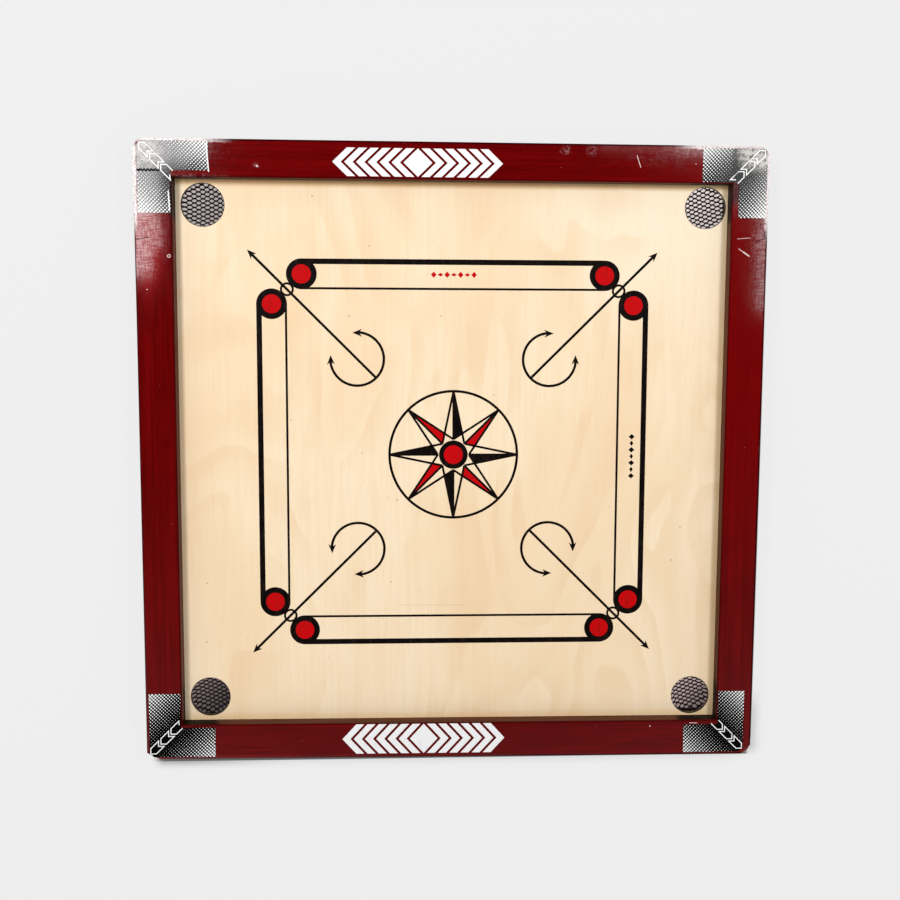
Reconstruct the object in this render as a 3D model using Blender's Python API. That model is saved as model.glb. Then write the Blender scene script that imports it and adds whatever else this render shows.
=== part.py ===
"""Carrom board lying flat: grooved and mitred rails, a plywood playing panel with four pocket
holes, half-lapped battens under it, pocket nets, corner stickers, nails and tacks.

Metres, +Z up. The origin is the centre of the rails' underside, +X runs to the right rail and
+Y to the back rail.
"""

import math

import bmesh
import bpy
from mathutils import Matrix, Vector

# Frame
BOARD_SIDE = 0.660
RAIL_WIDTH = 0.039
RAIL_HEIGHT = 0.036
TOP_EDGE_RADIUS = 0.003
BOTTOM_EDGE_CHAMFER = 0.001
INNER_EDGE_RADIUS = 0.0018
CORNER_RADIUS = 0.010
FRONT_LEFT_CUT = (0.014, 0.0075)  # the sawn-off corner, along the front and along the left rail
CORNER_STEPS = 6
EDGE_STEPS = 3

# Playing panel
RECESS = 0.0155
PANEL_THICKNESS = 0.004
GROOVE_DEPTH = 0.008
# Each pocket hole: its centre's distances from the rails' inner faces along X and Y, and its diameter
POCKETS = {
    "back_left": ((0.0280, 0.0265), 0.0445),
    "back_right": ((0.0237, 0.0240), 0.0432),
    "front_left": ((0.0276, 0.0258), 0.0420),
    "front_right": ((0.0259, 0.0228), 0.0416),
}
POCKET_EDGE_ROUNDING = 0.0005
POCKET_SIDES = 64

# Battens
BATTEN_WIDTH = 0.025
BATTEN_CLEARANCE = 0.002
BATTEN_OFFSET = 0.097

# Pocket nets
NET_FROM_RAIL = 0.026
NET_HALF_SIDE = 0.0256
NET_CORNER_RADIUS = 0.004
NET_THICKNESS = 0.001
POUCH_CLEARANCE = 0.0003  # between the hole's edge and the pouch's inside, in plan
NET_SIDES = 32
TACK_OFFSET = 0.0215

# Fasteners: head radius, head thickness, shank radius, whole length
CORNER_NAIL = (0.0030, 0.0012, 0.0014, 0.050)
BATTEN_NAIL = (0.0030, 0.0012, 0.0014, 0.065)
LAP_NAIL = (0.0022, 0.0008, 0.0009, 0.0112)
TACK = (0.0022, 0.0007, 0.0006, 0.0052)
NAIL_SIDES = 10
NAIL_SINK = 0.0003
CORNER_NAIL_INSET = 0.020
SIDE_NAIL_HEIGHT = 0.010
END_NAIL_HEIGHT = 0.027

# Corner stickers, as distances in from the board's sides along X and Y: the film's outer edges,
# the inner edges of its two arms, and the arms' ends
STICKERS = {
    "back_left": ((0.0044, 0.0022), (0.0376, 0.0322), (0.0764, 0.0756)),
    "back_right": ((0.0022, 0.0025), (0.0318, 0.0376), (0.0706, 0.0743)),
    "front_left": ((0.0039, 0.0036), (0.0376, 0.0361), (0.0741, 0.0739)),
    "front_right": ((0.0086, 0.0028), (0.0376, 0.0341), (0.0751, 0.0717)),
}
STICKER_CORNER_CUT = 0.0045
STICKER_THICKNESS = 0.0002

GAP = 0.0003  # between pieces that touch
STICKER_GAP = 0.0001

HALF_SIDE = BOARD_SIDE / 2
HALF_INSIDE = HALF_SIDE - RAIL_WIDTH
PANEL_TOP = RAIL_HEIGHT - RECESS
PANEL_BOTTOM = PANEL_TOP - PANEL_THICKNESS
NET_CENTRE = HALF_INSIDE - NET_FROM_RAIL
NET_TOP = PANEL_BOTTOM - GAP

SIDES = {"back": 0, "left": 90, "front": 180, "right": 270}
CORNERS = {
    "back_right": (1, 1),
    "back_left": (-1, 1),
    "front_left": (-1, -1),
    "front_right": (1, -1),
}


def clear_scene():
    for obj in list(bpy.data.objects):
        bpy.data.objects.remove(obj, do_unlink=True)


def material(name, colour, roughness, metallic=0.0):
    made = bpy.data.materials.new(name)
    made.use_nodes = True
    made.diffuse_color = (*colour, 1.0)
    shader = made.node_tree.nodes["Principled BSDF"]
    shader.inputs["Base Color"].default_value = (*colour, 1.0)
    shader.inputs["Roughness"].default_value = roughness
    shader.inputs["Metallic"].default_value = metallic
    return made


def mesh_from(name, bm):
    bmesh.ops.recalc_face_normals(bm, faces=bm.faces)
    mesh = bpy.data.meshes.new(name)
    bm.to_mesh(mesh)
    bm.free()
    return mesh


def add_object(name, mesh, collection=None):
    obj = bpy.data.objects.new(name, mesh)
    (collection or bpy.context.scene.collection).objects.link(obj)
    return obj


def add_piece(name, mesh, finish):
    piece = add_object(name, mesh)
    if not mesh.materials:
        mesh.materials.append(finish)
    return piece


def add_cutter(name, mesh, collection=None):
    cutter = add_object(name, mesh, collection)
    cutter.hide_render = True
    cutter.display_type = "WIRE"
    return cutter


def boolean(obj, operation, other):
    modifier = obj.modifiers.new(other.name, "BOOLEAN")
    modifier.operation = operation
    modifier.solver = "EXACT"
    if isinstance(other, bpy.types.Collection):
        modifier.operand_type = "COLLECTION"
        modifier.collection = other
    else:
        modifier.object = other


def prism(outline, low, high, place=None):
    """Closed body between two heights from a plan outline of (x, y) points."""
    bm = bmesh.new()
    lower = [bm.verts.new((x, y, low)) for x, y in outline]
    upper = [bm.verts.new((x, y, high)) for x, y in outline]
    bm.faces.new(lower[::-1])
    bm.faces.new(upper)
    count = len(outline)
    for i in range(count):
        j = (i + 1) % count
        bm.faces.new((lower[i], lower[j], upper[j], upper[i]))
    if place:
        bm.transform(place)
    return bm


def lathe(profile, sides):
    """Closed body turned about Z from (radius, height) points that start and end on the axis."""
    bm = bmesh.new()
    rings = []
    for radius, height in profile:
        if radius == 0:
            rings.append([bm.verts.new((0, 0, height))])
            continue
        turn = [2 * math.pi * i / sides for i in range(sides)]
        rings.append([bm.verts.new((radius * math.cos(t), radius * math.sin(t), height)) for t in turn])
    for lower, upper in zip(rings, rings[1:]):
        for i in range(sides):
            j = (i + 1) % sides
            if len(lower) == 1:
                bm.faces.new((lower[0], upper[j], upper[i]))
            elif len(upper) == 1:
                bm.faces.new((lower[i], lower[j], upper[0]))
            else:
                bm.faces.new((lower[i], lower[j], upper[j], upper[i]))
    return bm


def arc(centre, radius, start, end, steps):
    """Points on a circle from one angle to another, in degrees."""
    angles = [math.radians(start + (end - start) * i / steps) for i in range(steps + 1)]
    return [(centre[0] + radius * math.cos(a), centre[1] + radius * math.sin(a)) for a in angles]


def board_outline():
    """Outer edge in plan: three rounded corners and the sawn-off front left one."""
    inset = HALF_SIDE - CORNER_RADIUS
    points = arc((inset, inset), CORNER_RADIUS, 0, 90, CORNER_STEPS)
    points += arc((-inset, inset), CORNER_RADIUS, 90, 180, CORNER_STEPS)
    along_front, along_left = FRONT_LEFT_CUT
    points += [(-HALF_SIDE, -HALF_SIDE + along_left), (-HALF_SIDE + along_front, -HALF_SIDE)]
    points += arc((inset, -inset), CORNER_RADIUS, 270, 360, CORNER_STEPS)
    return points


def board_blank():
    """The whole board as one slab with its outer edges eased, which the rails are cut out of."""
    bm = prism(board_outline(), 0, RAIL_HEIGHT)
    for height, offset, steps in (
        (RAIL_HEIGHT, TOP_EDGE_RADIUS, EDGE_STEPS),
        (0, BOTTOM_EDGE_CHAMFER, 1),
    ):
        edges = [e for e in bm.edges if all(abs(v.co.z - height) < 1e-6 for v in e.verts)]
        bmesh.ops.bevel(bm, geom=edges, offset=offset, segments=steps, profile=0.5, affect="EDGES")
    return add_cutter("board_blank", mesh_from("board_blank", bm))


def rail_section():
    """(distance from the board's centre, height) round a rail, open beyond its outer and top faces."""
    beyond = 0.02
    groove_low, groove_high = PANEL_BOTTOM - GAP, PANEL_TOP + GAP
    groove_back = HALF_INSIDE + GROOVE_DEPTH + GAP
    eased = arc(
        (HALF_INSIDE + INNER_EDGE_RADIUS, RAIL_HEIGHT - INNER_EDGE_RADIUS), INNER_EDGE_RADIUS, 180, 120, 2
    )
    return [
        (HALF_SIDE + beyond, -beyond),
        (HALF_SIDE + beyond, RAIL_HEIGHT + beyond),
        (HALF_INSIDE + 2 * INNER_EDGE_RADIUS, RAIL_HEIGHT + INNER_EDGE_RADIUS / 2),
        *eased[::-1],
        (HALF_INSIDE, groove_high),
        (groove_back, groove_high),
        (groove_back, groove_low),
        (HALF_INSIDE, groove_low),
        (HALF_INSIDE, -beyond),
    ]


def make_rails(blank, fastener_holes, finish):
    for side, degrees in SIDES.items():
        bm = bmesh.new()
        ends = []
        for hand in (-1, 1):
            # Each end lies in the mitre plane, half a gap short of its neighbour.
            reach = [hand * (distance - GAP / 2) for distance, _ in rail_section()]
            ends.append([bm.verts.new((x, d, z)) for x, (d, z) in zip(reach, rail_section())])
        bm.faces.new(ends[0])
        bm.faces.new(ends[1][::-1])
        count = len(ends[0])
        for i in range(count):
            j = (i + 1) % count
            bm.faces.new((ends[0][i], ends[0][j], ends[1][j], ends[1][i]))
        rail = add_piece("rail_" + side, mesh_from("rail_" + side, bm), finish)
        rail.rotation_euler.z = math.radians(degrees)
        boolean(rail, "INTERSECT", blank)
        boolean(rail, "DIFFERENCE", fastener_holes)


def pocket_centre(corner):
    (along_x, along_y), _ = POCKETS[corner]
    x, y = CORNERS[corner]
    return (x * (HALF_INSIDE - along_x), y * (HALF_INSIDE - along_y))


def make_panel(tack_holes, finish):
    half = HALF_INSIDE + GROOVE_DEPTH
    corners = [(-half, -half), (half, -half), (half, half), (-half, half)]
    mesh = mesh_from("playing_panel", prism(corners, PANEL_BOTTOM, PANEL_TOP))
    panel = add_piece("playing_panel", mesh, finish)
    eased = POCKET_EDGE_ROUNDING
    low, high = PANEL_BOTTOM - eased, PANEL_TOP + eased
    for corner, (_, diameter) in POCKETS.items():
        radius = diameter / 2
        profile = [
            (0, low),
            (radius, low),
            (radius, PANEL_TOP - 2 * eased),
            (radius + 2 * eased, high),
            (0, high),
        ]
        cutter = add_cutter("pocket_hole_" + corner, mesh_from("pocket_hole", lathe(profile, POCKET_SIDES)))
        cutter.location = (*pocket_centre(corner), 0)
        boolean(panel, "DIFFERENCE", cutter)
    boolean(panel, "DIFFERENCE", tack_holes)


def make_battens(fastener_holes, finish):
    """Two battens each way; the ones along X are notched from below, the ones along Y from above."""
    length = 2 * (HALF_INSIDE - GAP)
    low, high = BATTEN_CLEARANCE, PANEL_BOTTOM - GAP
    middle = (low + high) / 2
    notch = BATTEN_WIDTH / 2 + GAP
    for along, plain, cut in (("x", high, middle + GAP / 2), ("y", low, middle - GAP / 2)):
        notched = low if plain == high else high
        outline = [(-length / 2, plain), (-length / 2, notched)]
        for centre in (-BATTEN_OFFSET, BATTEN_OFFSET):
            outline += [
                (centre - notch, notched),
                (centre - notch, cut),
                (centre + notch, cut),
                (centre + notch, notched),
            ]
        outline += [(length / 2, notched), (length / 2, plain)]
        # The outline is drawn in X and Z, so the prism's own height becomes the batten's width.
        upright = Matrix.Rotation(math.radians(90), 4, "X")
        mesh = mesh_from("batten_" + along, prism(outline, -BATTEN_WIDTH / 2, BATTEN_WIDTH / 2, upright))
        sides = (("front", -1), ("back", 1)) if along == "x" else (("left", -1), ("right", 1))
        for side, hand in sides:
            batten = add_piece(f"batten_{along}_{side}", mesh, finish)
            offset = hand * BATTEN_OFFSET
            if along == "x":
                batten.location.y = offset
            else:
                batten.location.x = offset
                batten.rotation_euler.z = math.radians(90)
            boolean(batten, "DIFFERENCE", fastener_holes)


def square_radius(angle):
    """Distance from a net's centre to the edge of its rounded square, in one direction."""
    longer = max(abs(math.cos(angle)), abs(math.sin(angle)))
    shorter = min(abs(math.cos(angle)), abs(math.sin(angle)))
    across = NET_HALF_SIDE / longer
    straight = NET_HALF_SIDE - NET_CORNER_RADIUS
    if across * shorter <= straight:
        return across
    towards = straight * (longer + shorter)
    return towards + math.sqrt(towards**2 - 2 * straight**2 + NET_CORNER_RADIUS**2)


def net_mesh(corner):
    """A square of netting flat against the panel, with a shallow round pouch under the hole.

    The mesh is built about the square's centre; the pouch stands off it, under the hole's centre.
    """
    (x, y), (hole_x, hole_y) = CORNERS[corner], pocket_centre(corner)
    offset = (hole_x - x * NET_CENTRE, hole_y - y * NET_CENTRE)
    rim = POCKETS[corner][1] / 2 + POUCH_CLEARANCE
    thick = NET_THICKNESS
    inner = [(rim, 0), (rim, -0.0045), (rim - 0.0010, -0.0068), (rim - 0.0036, -0.0081), (0, -0.0087)]
    outer = [(radius + thick, height - thick) for radius, height in inner]
    angles = [2 * math.pi * (i + 0.5) / NET_SIDES for i in range(NET_SIDES)]
    bm = bmesh.new()

    def ring(radius_at, centre, height):
        made = []
        for angle in angles:
            radius = radius_at(angle)
            along_x, along_y = radius * math.cos(angle), radius * math.sin(angle)
            made.append(bm.verts.new((centre[0] + along_x, centre[1] + along_y, NET_TOP + height)))
        return made

    def round_ring(radius, height):
        return ring(lambda _: radius, offset, height)

    def square_ring(height):
        return ring(square_radius, (0, 0), height)

    def middle(height):
        return [bm.verts.new((*offset, NET_TOP + height))]

    rings = [middle(inner[-1][1])]
    rings += [round_ring(*level) for level in inner[-2::-1]]
    rings += [square_ring(0), square_ring(-thick)]
    rings += [round_ring(*level) for level in outer[:-1]]
    rings.append(middle(outer[-1][1]))
    for first, second in zip(rings, rings[1:]):
        for i in range(NET_SIDES):
            j = (i + 1) % NET_SIDES
            if len(first) == 1:
                bm.faces.new((first[0], second[i], second[j]))
            elif len(second) == 1:
                bm.faces.new((first[j], first[i], second[0]))
            else:
                bm.faces.new((first[j], first[i], second[i], second[j]))
    mesh = mesh_from("net", bm)
    mesh.shade_smooth()
    mesh.set_sharp_from_angle(angle=math.radians(40))
    return mesh


def make_nets(tack_holes, finish):
    for corner, (x, y) in CORNERS.items():
        net = add_piece("net_" + corner, net_mesh(corner), finish)
        net.location = (x * NET_CENTRE, y * NET_CENTRE, 0)
        boolean(net, "DIFFERENCE", tack_holes)


def sticker_outline(outer, inner, end):
    """The L in plan, in distances from the board's sides, with its outer corner cut."""
    return [
        (inner[0], end[1]),
        (outer[0], end[1]),
        (outer[0], outer[1] + STICKER_CORNER_CUT),
        (outer[0] + STICKER_CORNER_CUT, outer[1]),
        (end[0], outer[1]),
        (end[0], inner[1]),
        inner,
    ]


def make_stickers(finish):
    low = RAIL_HEIGHT + STICKER_GAP
    for corner, (x, y) in CORNERS.items():
        outline = sticker_outline(*STICKERS[corner])
        outline = [(x * (HALF_SIDE - along_x), y * (HALF_SIDE - along_y)) for along_x, along_y in outline]
        name = "corner_sticker_" + corner
        add_piece(name, mesh_from(name, prism(outline, low, low + STICKER_THICKNESS)), finish)


def nail_profile(size):
    """A round nail from the middle of its head at height 0 to its point."""
    head, head_height, shank, length = size
    point = 2.5 * shank
    return [
        (0, 0),
        (head * 0.86, 0),
        (head, head_height * 0.35),
        (head, head_height),
        (shank, head_height),
        (shank, length - point),
        (0, length),
    ]


def hole_profile(size):
    """The nail's hole: wider by the gap, and open beyond the head."""
    head, head_height, shank, length = size
    point = 2.5 * shank
    return [
        (0, -4 * GAP),
        (head + GAP, -4 * GAP),
        (head + GAP, head_height + GAP),
        (shank + GAP, head_height + GAP),
        (shank + GAP, length - point + GAP),
        (0, length + GAP),
    ]


class Fastener:
    """One kind of nail or tack: its mesh, the mesh of its hole, and a way to drive it."""

    def __init__(self, name, size, finish, holes):
        self.mesh = mesh_from(name, lathe(nail_profile(size), NAIL_SIDES))
        self.mesh.shade_smooth()
        self.mesh.set_sharp_from_angle(angle=math.radians(40))
        self.hole = mesh_from(name + "_hole", lathe(hole_profile(size), NAIL_SIDES))
        self.finish = finish
        self.holes = holes

    def drive(self, name, head, direction):
        """Places it with its head's outer face at a point, and its shank along a direction."""
        turn = Vector((0, 0, 1)).rotation_difference(Vector(direction)).to_euler()
        nail = add_piece(name, self.mesh, self.finish)
        hole = add_cutter("hole_" + name, self.hole, self.holes)
        for obj in (nail, hole):
            obj.location = head
            obj.rotation_euler = turn


def make_corner_nails(nail):
    """Each mitre is nailed from both outer faces, at two heights so that the nails pass each other."""
    face = HALF_SIDE - NAIL_SINK
    along = HALF_SIDE - CORNER_NAIL_INSET
    for corner, (x, y) in CORNERS.items():
        nail.drive(f"corner_nail_{corner}_a", (x * face, y * along, SIDE_NAIL_HEIGHT), (-x, 0, 0))
        nail.drive(f"corner_nail_{corner}_b", (x * along, y * face, END_NAIL_HEIGHT), (0, -y, 0))


def make_batten_nails(nail):
    face = HALF_SIDE - NAIL_SINK
    height = (BATTEN_CLEARANCE + PANEL_BOTTOM) / 2
    for side, hand in (("front", -1), ("back", 1)):
        offset = hand * BATTEN_OFFSET
        nail.drive(f"batten_nail_x_{side}_left", (-face, offset, height), (1, 0, 0))
        nail.drive(f"batten_nail_x_{side}_right", (face, offset, height), (-1, 0, 0))
    for side, hand in (("left", -1), ("right", 1)):
        offset = hand * BATTEN_OFFSET
        nail.drive(f"batten_nail_y_{side}_front", (offset, -face, height), (0, 1, 0))
        nail.drive(f"batten_nail_y_{side}_back", (offset, face, height), (0, -1, 0))


def make_lap_nails(nail):
    for corner, (x, y) in CORNERS.items():
        head = (x * BATTEN_OFFSET, y * BATTEN_OFFSET, BATTEN_CLEARANCE + NAIL_SINK)
        nail.drive("lap_nail_" + corner, head, (0, 0, 1))


def make_tacks(tack):
    """Four tacks hold each net, one at each corner of its square, from below."""
    height = NET_TOP - NET_THICKNESS - GAP - TACK[1]
    for corner, (x, y) in CORNERS.items():
        for number, (dx, dy) in enumerate(CORNERS.values(), start=1):
            head = (
                x * NET_CENTRE + dx * TACK_OFFSET,
                y * NET_CENTRE + dy * TACK_OFFSET,
                height,
            )
            tack.drive(f"tack_{corner}_{number}", head, (0, 0, 1))


def main():
    clear_scene()
    rail_paint = material("rail_paint", (0.13, 0.004, 0.006), 0.3)
    birch_ply = material("birch_ply", (0.87, 0.72, 0.50), 0.45)
    batten_wood = material("batten_wood", (0.55, 0.36, 0.19), 0.7)
    net_cord = material("net_cord", (0.01, 0.01, 0.01), 0.6)
    sticker_film = material("sticker_film", (0.03, 0.03, 0.03), 0.35)
    nail_steel = material("nail_steel", (0.45, 0.44, 0.42), 0.4, metallic=1.0)

    nail_holes = bpy.data.collections.new("nail_holes")
    tack_holes = bpy.data.collections.new("tack_holes")
    for holes in (nail_holes, tack_holes):
        bpy.context.scene.collection.children.link(holes)

    make_corner_nails(Fastener("corner_nail", CORNER_NAIL, nail_steel, nail_holes))
    make_batten_nails(Fastener("batten_nail", BATTEN_NAIL, nail_steel, nail_holes))
    make_lap_nails(Fastener("lap_nail", LAP_NAIL, nail_steel, nail_holes))
    make_tacks(Fastener("tack", TACK, nail_steel, tack_holes))

    make_rails(board_blank(), nail_holes, rail_paint)
    make_panel(tack_holes, birch_ply)
    make_battens(nail_holes, batten_wood)
    make_nets(tack_holes, net_cord)
    make_stickers(sticker_film)


main()
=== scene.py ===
"""The looks of the carrom board: painted rails, printed birch ply, pocket nets and corner stickers.

Metres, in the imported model's frame: the board lies flat on z = 0, +X runs to the right rail and
+Y to the back rail. Plan drawings are in millimetres and become metres where they are built.
"""

import math

import bmesh
import bpy
from mathutils import Matrix, Vector


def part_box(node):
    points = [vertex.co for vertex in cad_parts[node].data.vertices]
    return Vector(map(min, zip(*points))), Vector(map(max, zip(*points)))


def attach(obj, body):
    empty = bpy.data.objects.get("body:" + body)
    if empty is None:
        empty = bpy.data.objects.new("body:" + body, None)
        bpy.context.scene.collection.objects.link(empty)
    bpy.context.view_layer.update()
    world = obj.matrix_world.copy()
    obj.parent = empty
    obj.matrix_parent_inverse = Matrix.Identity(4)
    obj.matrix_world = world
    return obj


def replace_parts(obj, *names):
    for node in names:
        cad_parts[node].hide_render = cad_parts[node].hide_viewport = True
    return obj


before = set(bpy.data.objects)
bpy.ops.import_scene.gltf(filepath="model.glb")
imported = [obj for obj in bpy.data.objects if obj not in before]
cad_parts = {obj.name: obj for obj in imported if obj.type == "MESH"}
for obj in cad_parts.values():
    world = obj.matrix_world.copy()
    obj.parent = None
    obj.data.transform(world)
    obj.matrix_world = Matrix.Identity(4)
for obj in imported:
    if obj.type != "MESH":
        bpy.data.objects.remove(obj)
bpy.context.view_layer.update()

MM = 0.001
TOUCHING = 0.01 * MM
DIAGONAL = math.sqrt(0.5)
BODY = "root"
CORNERS = {"back_left": (-1, 1), "back_right": (1, 1), "front_left": (-1, -1), "front_right": (1, -1)}


def each_corner(*values):
    """One value for each corner, in the order of CORNERS."""
    return dict(zip(CORNERS, values))


# Heights and edges that everything else is placed from
HALF_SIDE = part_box("rail_right")[1].x
RAIL_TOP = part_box("rail_back")[1].z
PANEL_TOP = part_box("playing_panel")[1].z
HALF_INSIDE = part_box("batten_x_back")[1].x

# Printed pattern, in mm about its own centre
PRINT_CENTRE = (0.1, 1.65)
PRINT_TURN = 0.113  # degrees
BASE_ALONG = 160.9  # base circles sit this far along an arm
BASE_ACROSS = 192.45  # and this far out
BASE_RADIUS = 16.15
BASE_RED_RADIUS = 10.1
THICK_LINE = 5.75
THIN_LINE = 2.35
LINE = 2.75
SMALL_CIRCLE = (176.2, 7.4)  # place along the diagonals, outer radius
ARROW_SPAN = (82.8, 217.4)
ARC_PLACE = 102.8
ARC_RADIUS = 28.4
ARC_GAP = (100.0, 171.5)  # the back left arc's two tips, in degrees
ARROW_HEAD = (10.2, 4.2, 7.0)  # length, half width, depth of the notched back
CENTRE_RADIUS = 70.0
STAR_INNER = 16.7
HUB_RADIUS = 15.45
HUB_RED_RADIUS = 10.3
RED_OVERLAP = 0.3  # how far the red reaches under the black round it
LINE_SHORT = 4  # an arrow's line ends this far, each way, before its tip
HEAD_COVER = 0.8  # and an arc this share of its heads' notched depth
SMALL_ORNAMENT = (50, 6.6)  # length and height
LOZENGES = 7
LOZENGE_WIDTH = 0.84  # share of the pitch
LOW_LOZENGE = 0.6  # share of the full height
ORNAMENT_BACK = (0, 192.5)
ORNAMENT_RIGHT = (193.3, -2)

# Ink film: how far it reaches below and above the wood, and the step between two shapes
INK_SINK = 0.03
INK_RISE = 0.05
INK_STEP = 0.0015
FEWEST_STEPS = 12  # round an arc
CIRCLE_STEPS = (16, 2.4)  # round a full circle, and more for each mm of its radius
SHARPEST_MITRE = 0.3


# Shader building

def linear(red, green, blue):
    """Display colour, 0 to 255, as the linear colour that shaders take."""
    def one(value):
        return ((value / 255 + 0.055) / 1.055) ** 2.4 if value > 10 else value / 255 / 12.92

    return (one(red), one(green), one(blue), 1.0)


def add_node(tree, kind, inputs=(), **settings):
    """A new shader node. Each of its inputs is a plain value, or the socket that feeds it."""
    made = tree.nodes.new(kind)
    for setting, value in settings.items():
        setattr(made, setting, value)
    for socket, value in dict(inputs).items():
        if isinstance(value, bpy.types.NodeSocket):
            tree.links.new(value, made.inputs[socket])
        else:
            made.inputs[socket].default_value = value
    return made


class Finish:
    """A material with one Principled shader, and short names for the nodes that feed it."""

    def __init__(self, name, **numbers):
        self.material = bpy.data.materials.new(name)
        self.material.use_nodes = True
        self.tree = self.material.node_tree
        self.shader = self.tree.nodes["Principled BSDF"]
        for socket, value in numbers.items():
            self.shader.inputs[socket.replace("_", " ")].default_value = value
        self.place = self.add("ShaderNodeTexCoord").outputs["Object"]

    def add(self, kind, inputs=(), **settings):
        return add_node(self.tree, kind, inputs, **settings)

    def link(self, socket, value):
        self.tree.links.new(value, self.shader.inputs[socket])

    def stretched(self, x=1.0, y=1.0, z=1.0, turn=(0, 0, 0)):
        node = self.add("ShaderNodeMapping", {"Vector": self.place, "Rotation": turn, "Scale": (x, y, z)})
        return node.outputs["Vector"]

    def noise(self, scale, vector=None, detail=2.0, roughness=0.5, distortion=0.0):
        inputs = {
            "Vector": vector or self.place,
            "Scale": scale,
            "Detail": detail,
            "Roughness": roughness,
            "Distortion": distortion,
        }
        return self.add("ShaderNodeTexNoise", inputs).outputs["Fac"]

    def cells(self, scale, output="Distance"):
        inputs = {"Vector": self.place, "Scale": scale, "Randomness": 1.0}
        return self.add("ShaderNodeTexVoronoi", inputs, feature="F1").outputs[output]

    def band(self, value, low, high, to_low=0.0, to_high=1.0):
        """value taken from the range low..high to to_low..to_high, clamped, with soft ends."""
        inputs = {0: value, 1: low, 2: high, 3: to_low, 4: to_high}
        return self.add("ShaderNodeMapRange", inputs, interpolation_type="SMOOTHSTEP").outputs[0]

    def by_edge(self, value, edge, far, near):
        """0 where value is far mm short of an edge, changing to 1 where it is near mm short of it."""
        return self.band(value, edge - far * MM, edge - near * MM)

    def calc(self, operation, a, b=0.0, c=0.0):
        inputs = {0: a, 1: b}
        if operation == "MULTIPLY_ADD":
            inputs[2] = c
        return self.add("ShaderNodeMath", inputs, operation=operation).outputs[0]

    def times(self, product, *factors):
        for factor in factors:
            product = self.calc("MULTIPLY", product, factor)
        return product

    def size(self, value):
        """The value without its sign."""
        return self.calc("ABSOLUTE", value)

    def without(self, mask):
        """1 where a mask is 0, and 0 where it is 1."""
        return self.calc("SUBTRACT", 1.0, mask)

    def wander(self, noise, reach):
        """Noise as a shift of up to so many mm either way."""
        return self.calc("MULTIPLY_ADD", noise, 2 * reach * MM, -reach * MM)

    def mix(self, share, a, b, blend="MIX"):
        """Colour a with the given share of colour b. The node's colour sockets come after its other kinds."""
        inputs = {0: share, 6: a, 7: b}
        return self.add("ShaderNodeMix", inputs, data_type="RGBA", blend_type=blend).outputs[2]

    def tone(self, colour, value, low, high, share, paint):
        """colour with paint over it where value is high, up to the given share of it."""
        return self.mix(self.band(value, low, high, 0.0, share), colour, paint)

    def over(self, colour, mask, share, paint):
        """colour with paint laid over it, which covers the given share of it where mask is 1."""
        return self.mix(self.times(mask, share), colour, paint)

    def axes(self):
        node = self.add("ShaderNodeSeparateXYZ", {0: self.place})
        return node.outputs[0], node.outputs[1], node.outputs[2]

    def bump(self, height, distance, strength=1.0):
        inputs = {"Height": height, "Distance": distance, "Strength": strength}
        self.link("Normal", self.add("ShaderNodeBump", inputs).outputs["Normal"])


def near_line(finish, start, end, width, rough=0.0):
    """1 on a straight mark between two (x, y) points in mm, falling to 0 at its edges."""
    x, y, _ = finish.axes()
    if rough:
        wander = finish.wander(finish.noise(900, detail=1), rough)
        x = finish.calc("ADD", x, wander)
        y = finish.calc("ADD", y, wander)
    start, end, width = Vector(start) * MM, Vector(end) * MM, width * MM
    way = (end - start).normalized()
    length = (end - start).length
    from_y = finish.calc("MULTIPLY_ADD", y, way.y, -start.dot(way))
    along = finish.calc("MULTIPLY_ADD", x, way.x, from_y)
    from_y = finish.calc("MULTIPLY_ADD", y, way.x, -way.cross(start))
    across = finish.calc("MULTIPLY_ADD", x, -way.y, from_y)
    beside = finish.band(finish.size(across), width / 2, width / 4)
    inside = finish.size(finish.calc("SUBTRACT", along, length / 2))
    return finish.times(beside, finish.band(inside, length / 2, length / 2 - width))


def near_spot(finish, place, radius, ring=0.0):
    """1 on a round spot at an (x, y) point in mm, or on a ring of that radius."""
    flat = finish.stretched(z=0.0)
    centre = (place[0] * MM, place[1] * MM, 0.0)
    distance = finish.add("ShaderNodeVectorMath", {0: flat, 1: centre}, operation="DISTANCE").outputs["Value"]
    if ring:
        distance = finish.size(finish.calc("SUBTRACT", distance, radius * MM))
        radius = ring
    return finish.band(distance, radius * MM, radius * MM * 0.4)


def near_patch(finish, place, half, core=0.3):
    """1 in the core of an ellipse with its centre and half axes in mm, fading to 0 at its rim."""
    scale = (1 / half[0] / MM, 1 / half[1] / MM, 0.0)
    moved = finish.add("ShaderNodeMapping", {
        "Vector": finish.place,
        "Scale": scale,
        "Location": (-place[0] / half[0], -place[1] / half[1], 0.0),
    }).outputs["Vector"]
    distance = finish.add("ShaderNodeVectorMath", {0: moved}, operation="LENGTH").outputs["Value"]
    return finish.band(distance, 1.0, core)


def strongest(finish, masks):
    """The largest of several masks at each point."""
    total = masks[0]
    for mask in masks[1:]:
        total = finish.calc("MAXIMUM", total, mask)
    return total


# Finishes

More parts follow.
